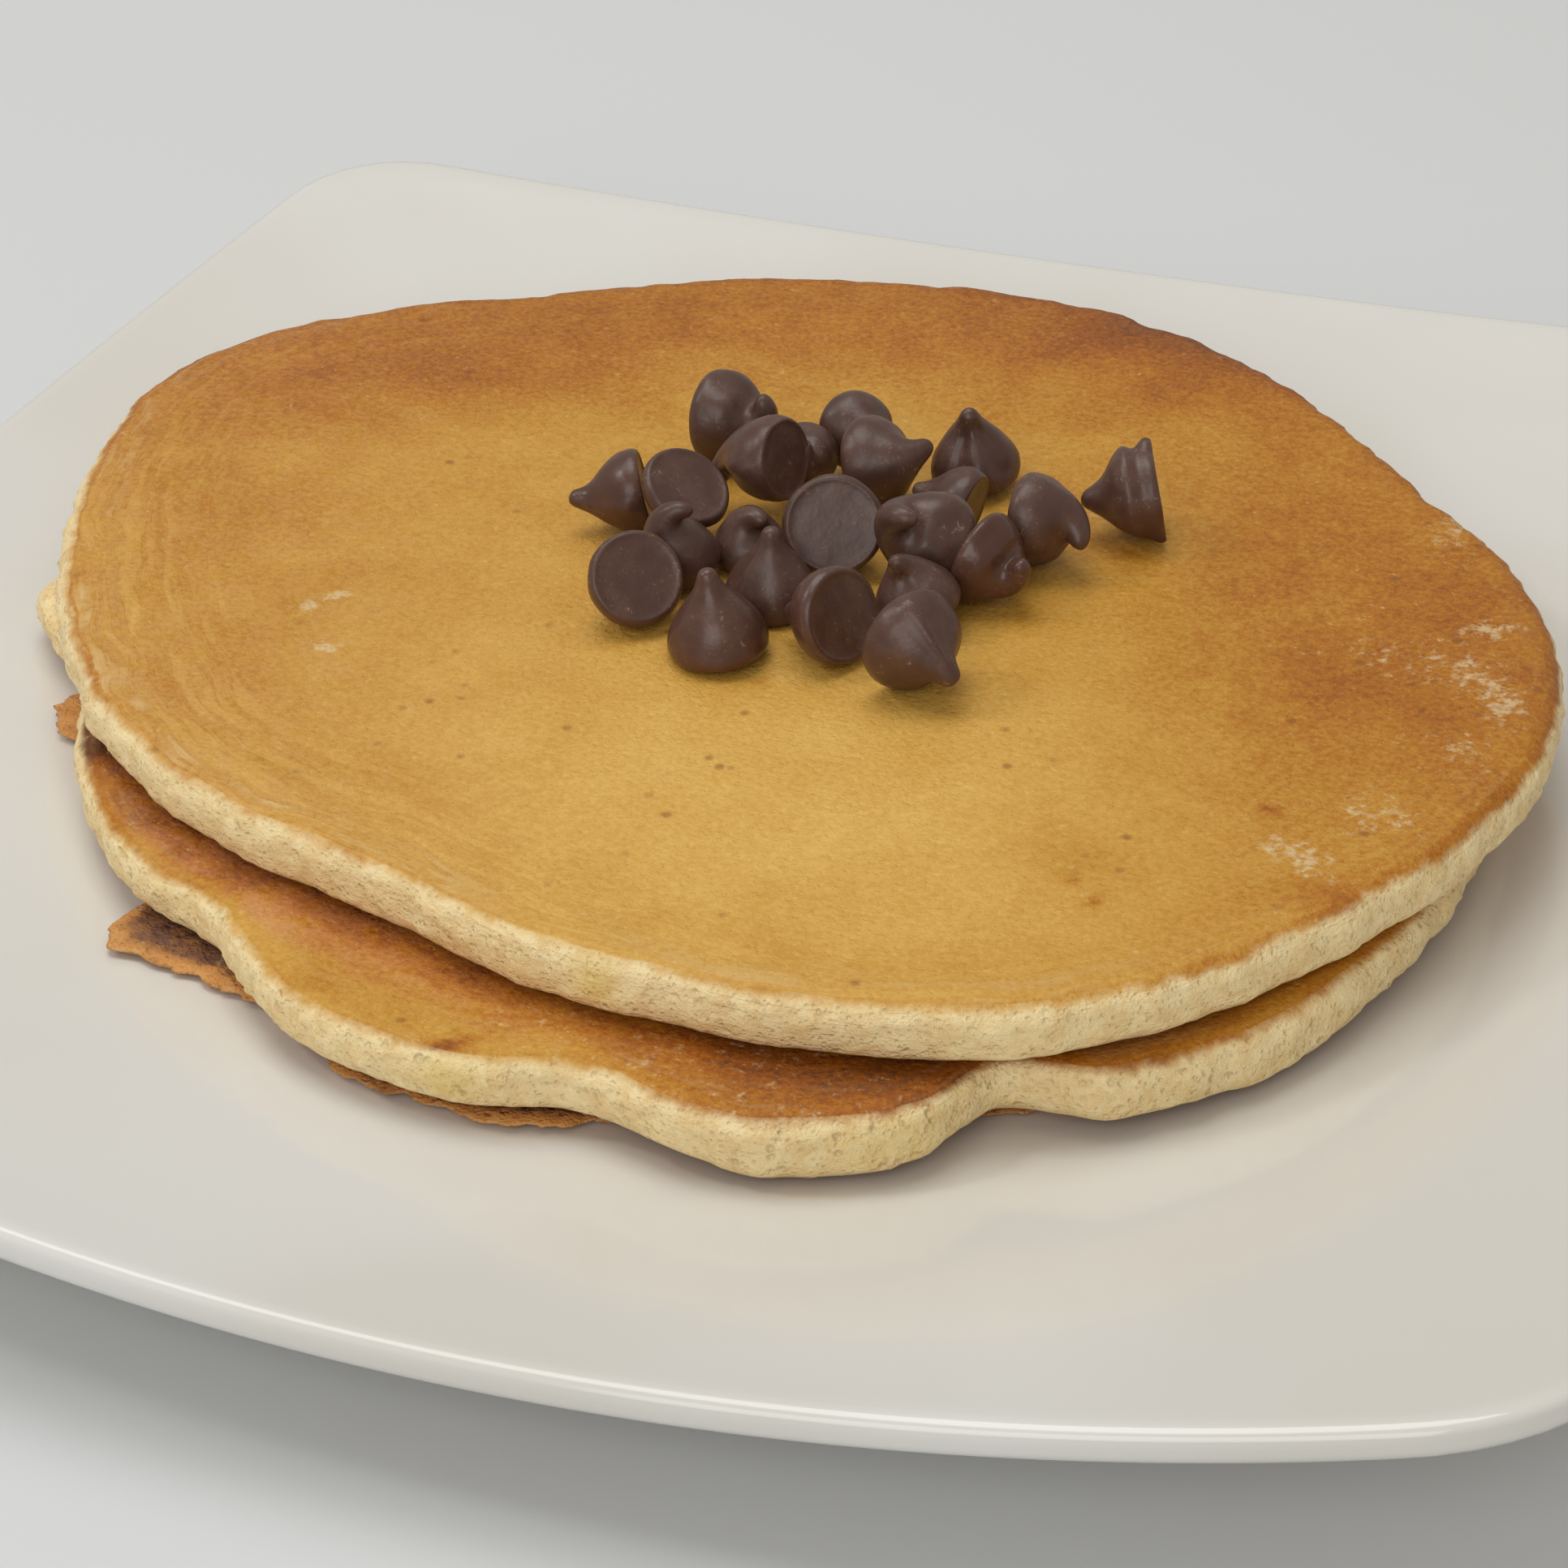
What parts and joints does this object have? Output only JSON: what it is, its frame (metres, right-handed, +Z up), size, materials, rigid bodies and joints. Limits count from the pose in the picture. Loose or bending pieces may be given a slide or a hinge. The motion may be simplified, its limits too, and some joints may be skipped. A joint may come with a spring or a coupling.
{
  "type": "pancake stack",
  "caption": "Stack of round pancakes on a white square coupe plate with raised rounded corners, topped with a loose heap of chocolate chips.",
  "frame": {"origin": "centre of the plate's foot, on the table", "axes": "+Z up; the plate's sides run along X and Y; the view of the picture looks along +Y, turned 20 degrees"},
  "size_m": [0.2524, 0.2524, 0.0402],
  "materials": {
    "glaze": "white glossy glaze",
    "pancake_crisp": "thin crisp browned pancake, matte",
    "pancake_browned": "browned pancake, matte, with a pale cream side",
    "pancake_golden": "golden pancake, matte, with a pale cream side",
    "chocolate": "semi-sweet chocolate, satin"
  },
  "bodies": {
    "root": {"plate": "glaze", "pancake_bottom": "pancake_crisp", "pancake_middle": "pancake_browned", "pancake_top": "pancake_golden", "chip_01": "chocolate", "chip_02": "chocolate", "chip_03": "chocolate", "chip_04": "chocolate", "chip_05": "chocolate", "chip_06": "chocolate", "chip_07": "chocolate", "chip_08": "chocolate", "chip_09": "chocolate", "chip_10": "chocolate", "chip_11": "chocolate", "chip_12": "chocolate", "chip_13": "chocolate", "chip_14": "chocolate", "chip_15": "chocolate", "chip_16": "chocolate", "chip_17": "chocolate", "chip_18": "chocolate", "chip_19": "chocolate", "chip_20": "chocolate", "chip_21": "chocolate", "chip_22": "chocolate"}
  },
  "joints": []
}
